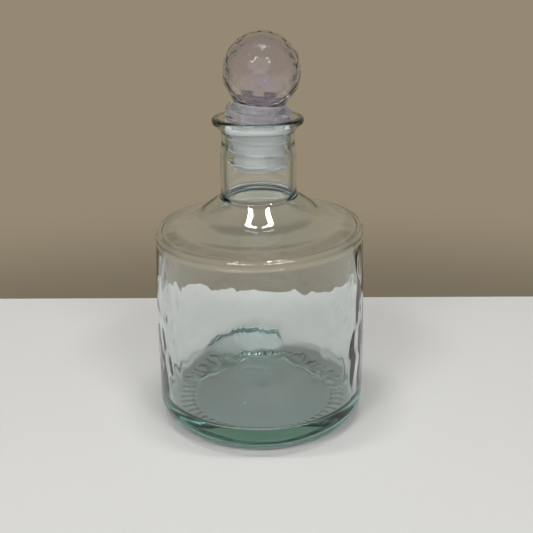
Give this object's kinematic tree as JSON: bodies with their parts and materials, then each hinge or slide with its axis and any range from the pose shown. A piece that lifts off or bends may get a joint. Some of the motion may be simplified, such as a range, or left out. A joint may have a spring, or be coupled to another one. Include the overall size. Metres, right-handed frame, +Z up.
{
  "type": "glass bottle with ball stopper",
  "caption": "Round pale-green glass bottle with a narrow flared neck, closed by a clear faceted ball knob on a finned plastic sleeve that lifts out.",
  "frame": {"origin": "centre of the ring the bottle stands on, at table height", "axes": "+Z up along the bottle's axis; -Y towards the viewer of the source picture"},
  "size_m": [0.086, 0.086, 0.1572],
  "materials": {
    "bottle_glass": "gloss",
    "clear_plastic": "gloss",
    "sleeve_plastic": "satin"
  },
  "bodies": {
    "bottle": {"glass_bottle": "bottle_glass"},
    "sleeve": {"sealing_sleeve": "sleeve_plastic"},
    "knob": {"stopper_base": "clear_plastic", "stopper_ball": "clear_plastic"}
  },
  "joints": [
    {"name": "stopper_lift", "type": "slide", "parent": "bottle", "child": "sleeve", "axis": [0, 0, 1], "range_m": [0, 0.06]},
    {"name": "knob_turn", "type": "hinge", "parent": "sleeve", "child": "knob", "pos_m": [0, 0, 0.1245], "axis": [0, 0, 1], "continuous": true}
  ]
}
